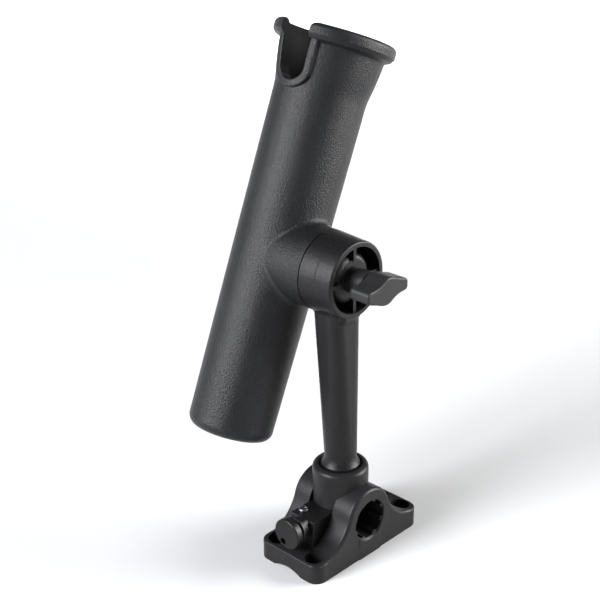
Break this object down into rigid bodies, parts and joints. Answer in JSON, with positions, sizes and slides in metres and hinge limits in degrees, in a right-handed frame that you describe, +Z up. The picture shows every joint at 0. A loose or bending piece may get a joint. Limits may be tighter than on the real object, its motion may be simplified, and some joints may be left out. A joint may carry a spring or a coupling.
{
  "type": "fishing rod holder",
  "caption": "Rod holder: flared tube with a reel notch on a tilting toothed joint with a wing knob, on a splined post that plugs into a deck base with a release plunger.",
  "frame": {"origin": "middle of the base's flat underside, directly below the post's axis", "axes": "+Z up the post; X along the base's long side with the plunger at -X and the tube leaning towards +X; +Y from the post to the rod tube, so the wing knob faces -Y"},
  "size_m": [0.16, 0.1309, 0.3316],
  "materials": {
    "tube_plastic": "fine-grained matte moulding",
    "post_plastic": "satin moulding",
    "base_plastic": "satin moulding",
    "latch_plastic": "satin moulding",
    "knob_plastic": "satin moulding",
    "stainless": "plain stainless",
    "screw_steel": "polished stainless",
    "spring_steel": "drawn wire",
    "brass_insert": "machined brass"
  },
  "bodies": {
    "base": {"deck_base": "base_plastic", "latch_block": "latch_plastic", "latch_block_screw": "screw_steel", "plunger_sleeve": "latch_plastic", "plunger_spring": "spring_steel"},
    "plunger": {"plunger_knob": "latch_plastic", "plunger_stem": "stainless", "plunger_clip": "spring_steel"},
    "post": {"spline_post": "post_plastic"},
    "tube": {"rod_tube": "tube_plastic", "pivot_bolt": "stainless", "bolt_head_washer": "stainless", "release_spring": "spring_steel"},
    "washer": {"knob_washer": "stainless"},
    "knob": {"wing_knob": "knob_plastic", "knob_insert": "brass_insert"}
  },
  "joints": [
    {"name": "plunger_pull", "type": "slide", "parent": "base", "child": "plunger", "axis": [-1, 0, 0], "range_m": [0, 0.007], "stiffness_N_per_m": 600, "springref_m": -0.004, "deforming": ["plunger_spring"]},
    {"name": "post_lift", "type": "slide", "parent": "base", "child": "post", "axis": [0, 0, 1], "range_m": [0, 0.048]},
    {"name": "tube_tilt", "type": "hinge", "parent": "post", "child": "tube", "pos_m": [0, 0, 0.1886], "axis": [0, 1, 0], "range_deg": [-113, 67]},
    {"name": "washer_travel", "type": "slide", "parent": "tube", "child": "washer", "axis": [0, -1, 0], "range_m": [0, 0.0025]},
    {"name": "knob_turn", "type": "hinge", "parent": "washer", "child": "knob", "pos_m": [0, 0, 0.1886], "axis": [0, -1, 0], "range_deg": [0, 720]}
  ],
  "couplings": [
    {"joint": "knob_turn", "follows": "washer_travel", "rad_per_m": 5026.5}
  ]
}
